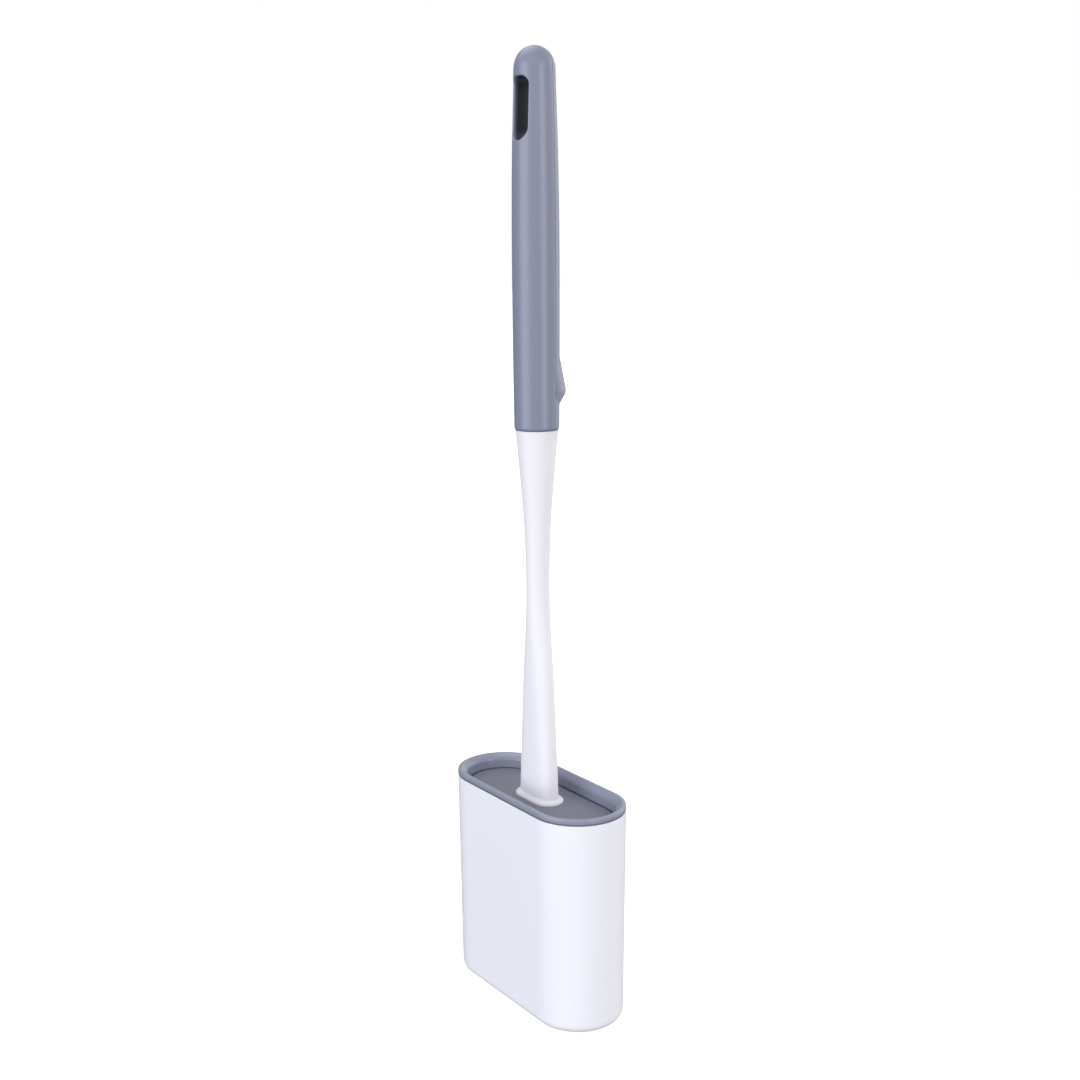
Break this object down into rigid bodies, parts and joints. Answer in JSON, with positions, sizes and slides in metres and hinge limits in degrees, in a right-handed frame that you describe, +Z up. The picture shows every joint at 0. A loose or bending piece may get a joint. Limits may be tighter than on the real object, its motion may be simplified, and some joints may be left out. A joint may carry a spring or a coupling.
{
  "type": "toilet brush holder",
  "caption": "Flat soft-bristle toilet brush with a flared rod and slotted grip, standing in an oval holder with a lift-out liner.",
  "frame": {"origin": "centre of the holder's base, on the floor it stands on", "axes": "+Z up along the brush's axis, +X along the holder's long axis, -Y towards the front face with the hanging slot"},
  "size_m": [0.1, 0.0424, 0.4146],
  "materials": {
    "white_shell": "satin moulded",
    "white_gloss": "semi-gloss moulded",
    "grey_liner": "satin moulded",
    "grey_plate": "fine matt",
    "grey_grip": "satin moulded",
    "bristle_rubber": "soft matt rubber",
    "foot_rubber": "matt rubber"
  },
  "bodies": {
    "holder": {"outer_shell": "white_shell", "foot_pad_1": "foot_rubber", "foot_pad_2": "foot_rubber", "foot_pad_3": "foot_rubber", "foot_pad_4": "foot_rubber"},
    "liner": {"liner": "grey_liner"},
    "brush": {"splash_plate": "grey_plate", "collar": "white_gloss", "rod": "white_gloss", "head_core": "white_gloss", "bristle_pad": "bristle_rubber", "grip_front": "grey_grip", "grip_back": "grey_grip"}
  },
  "joints": [
    {"name": "liner_lift", "type": "slide", "parent": "holder", "child": "liner", "axis": [0, 0, 1], "range_m": [0, 0.1]},
    {"name": "brush_lift", "type": "slide", "parent": "liner", "child": "brush", "axis": [0, 0, 1], "range_m": [0, 0.1]}
  ]
}
